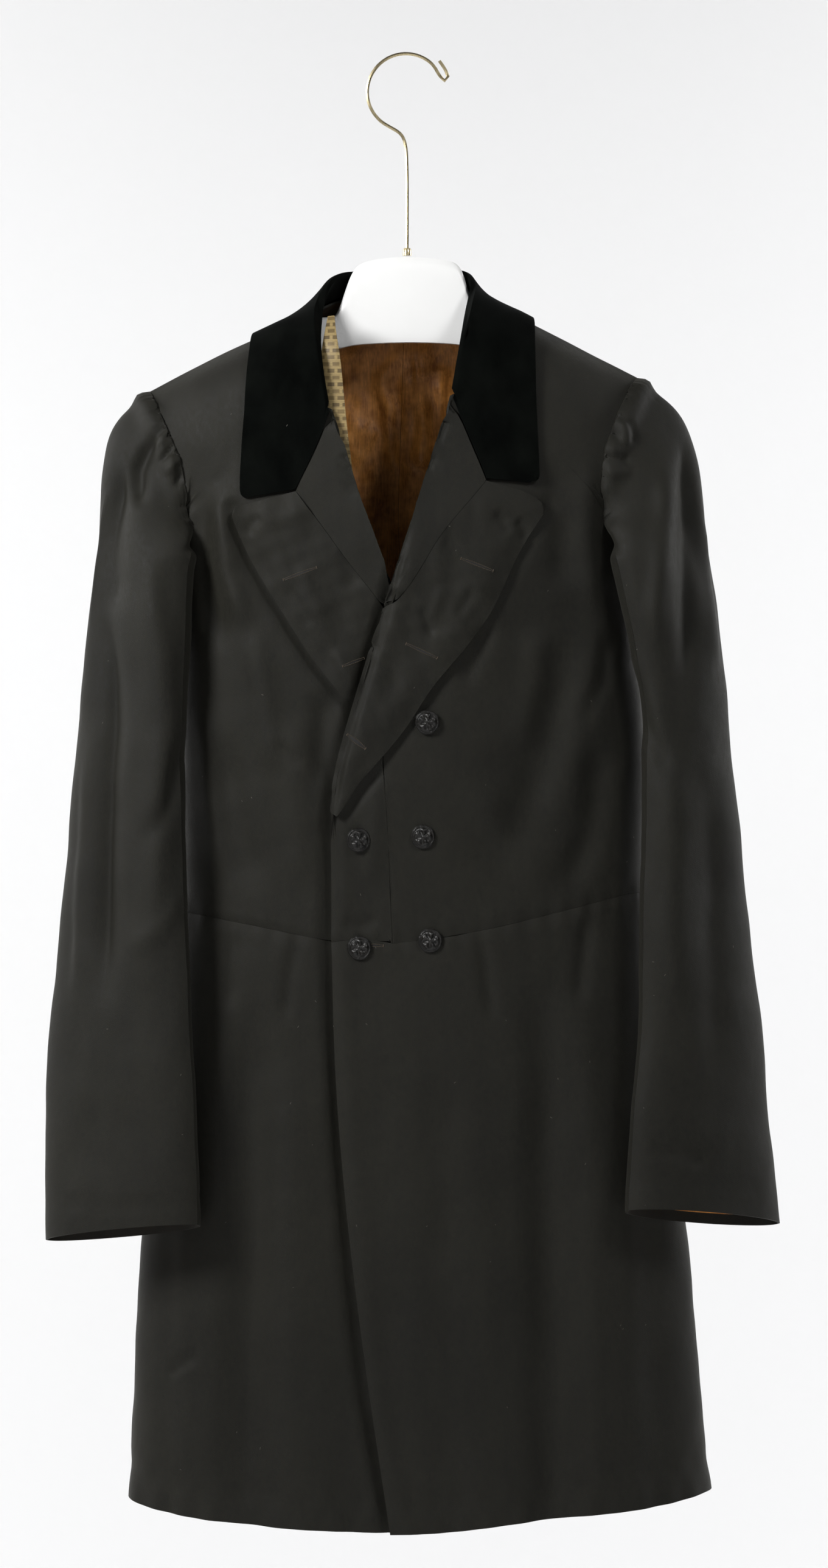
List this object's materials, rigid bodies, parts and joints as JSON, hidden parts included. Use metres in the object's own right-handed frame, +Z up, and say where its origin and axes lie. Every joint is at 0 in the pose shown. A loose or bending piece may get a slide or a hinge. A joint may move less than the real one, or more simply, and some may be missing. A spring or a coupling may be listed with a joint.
{
  "type": "double-breasted overcoat on a moulded coat hanger",
  "caption": "Black wool double-breasted overcoat with a velvet collar, peaked lapels, a waist seam and set-in sleeves, hung on a white moulded hanger with a wire hook.",
  "frame": {"origin": "inside top of the hanger hook's arc, where the rail it hangs on bears", "axes": "+Z up along the hook's stem, +X towards the right of somebody who faces the coat's front, +Y towards the back, so the front with its lapels and buttons faces -Y"},
  "size_m": [0.6063, 0.1677, 1.216],
  "materials": {
    "wool": "soft black twill wool",
    "velvet": "black cotton velvet",
    "lining": "brown satin lining",
    "pattern": "gold silk with a small woven repeat",
    "button": "black cloth-covered",
    "moulded": "white moulded plastic",
    "wire": "plated wire"
  },
  "bodies": {
    "root": {"forepart_left": "wool", "forepart_right": "wool", "lapel_strip_right": "wool", "facing_left": "wool", "facing_right": "wool", "lapel_left": "wool", "lapel_right": "wool", "skirt_left": "wool", "skirt_right": "wool", "back_left": "wool", "back_right": "wool", "topsleeve_left": "wool", "undersleeve_left": "wool", "cuff_lining_left": "lining", "topsleeve_right": "wool", "undersleeve_right": "wool", "cuff_lining_right": "lining", "collar": "velvet", "back_lining_left": "lining", "back_lining_right": "lining", "lining_strip_left": "pattern", "hanger_body": "moulded", "hanger_hook": "wire", "hook_ferrule": "wire", "button_right_1": "button", "button_right_2": "button", "button_right_3": "button", "button_left_1": "button", "button_left_2": "button"}
  },
  "joints": []
}
